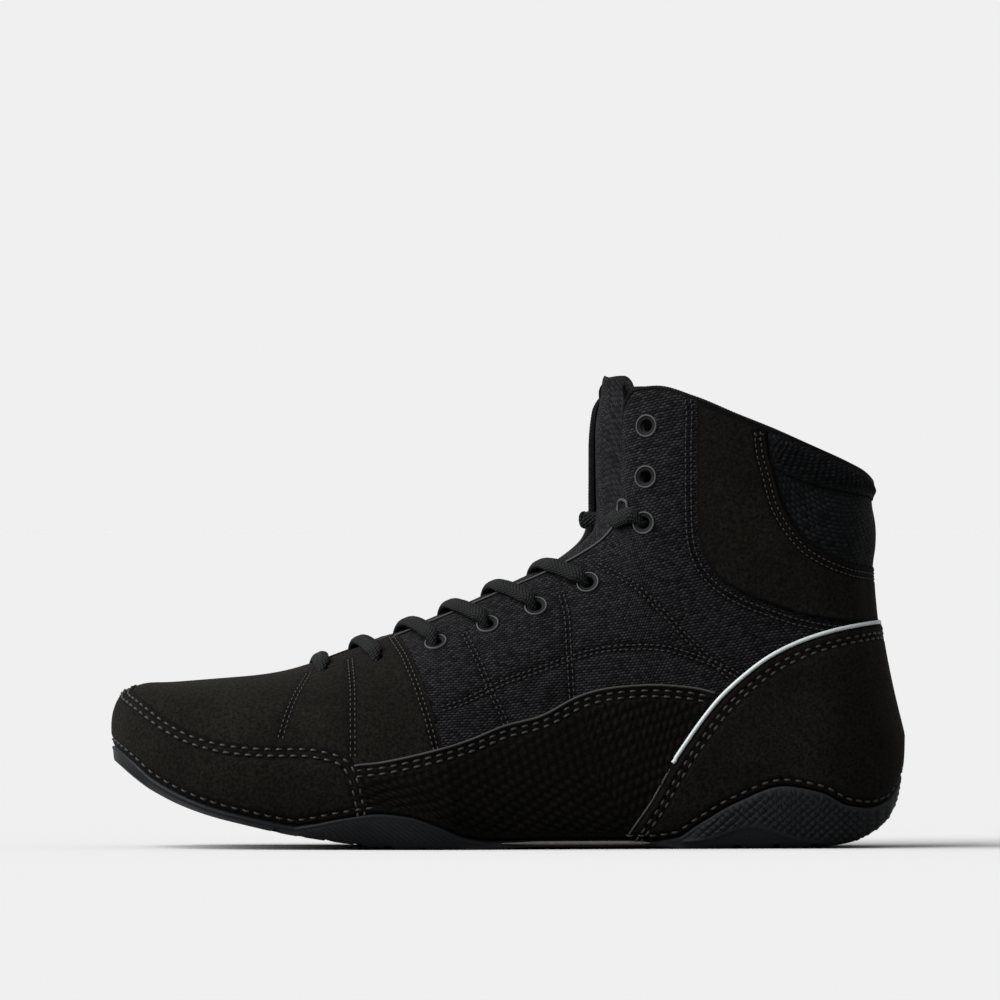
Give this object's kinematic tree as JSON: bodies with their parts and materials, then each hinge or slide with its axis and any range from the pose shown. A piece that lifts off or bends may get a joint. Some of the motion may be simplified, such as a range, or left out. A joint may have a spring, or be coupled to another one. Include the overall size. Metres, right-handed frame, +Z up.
{
  "type": "wrestling shoe",
  "caption": "High soft wrestling boot with a laced throat, toe bumper, side panels, heel counter and a thin cupped rubber sole.",
  "frame": {"origin": "middle of the footprint, on the floor the sole stands on", "axes": "-X to the toe, +X to the heel, -Y to the outer (lateral) side of the left foot, +Z up"},
  "size_m": [0.2856, 0.104, 0.17],
  "materials": {
    "knit": "coarse black knit with a horizontal weave",
    "suede": "matt black suede with a fine nap",
    "embossed_panel": "matt black panel with a small embossed pattern",
    "rubber": "satin charcoal rubber with fine ribs",
    "piping": "silver grey reflective piping",
    "lace": "braided charcoal lace",
    "eyelet_ring": "dark satin ring",
    "lining": "black textile"
  },
  "bodies": {
    "root": {"upper": "knit", "outsole": "rubber", "insole": "lining", "tongue": "knit", "toe_bumper": "suede", "side_panel_lateral": "embossed_panel", "side_panel_medial": "embossed_panel", "heel_counter": "suede", "ankle_piece": "suede", "heel_piping": "piping", "lace_bar": "lace", "lace_crossing_1": "lace", "lace_crossing_2": "lace", "lace_crossing_3": "lace", "lace_crossing_4": "lace", "lace_crossing_5": "lace", "lace_crossing_6": "lace", "eyelet_lateral_3": "eyelet_ring", "eyelet_lateral_4": "eyelet_ring", "eyelet_lateral_5": "eyelet_ring", "eyelet_lateral_6": "eyelet_ring", "eyelet_lateral_7": "eyelet_ring", "eyelet_lateral_8": "eyelet_ring", "eyelet_lateral_9": "eyelet_ring", "eyelet_medial_3": "eyelet_ring", "eyelet_medial_4": "eyelet_ring", "eyelet_medial_5": "eyelet_ring", "eyelet_medial_6": "eyelet_ring", "eyelet_medial_7": "eyelet_ring", "eyelet_medial_8": "eyelet_ring", "eyelet_medial_9": "eyelet_ring"}
  },
  "joints": []
}
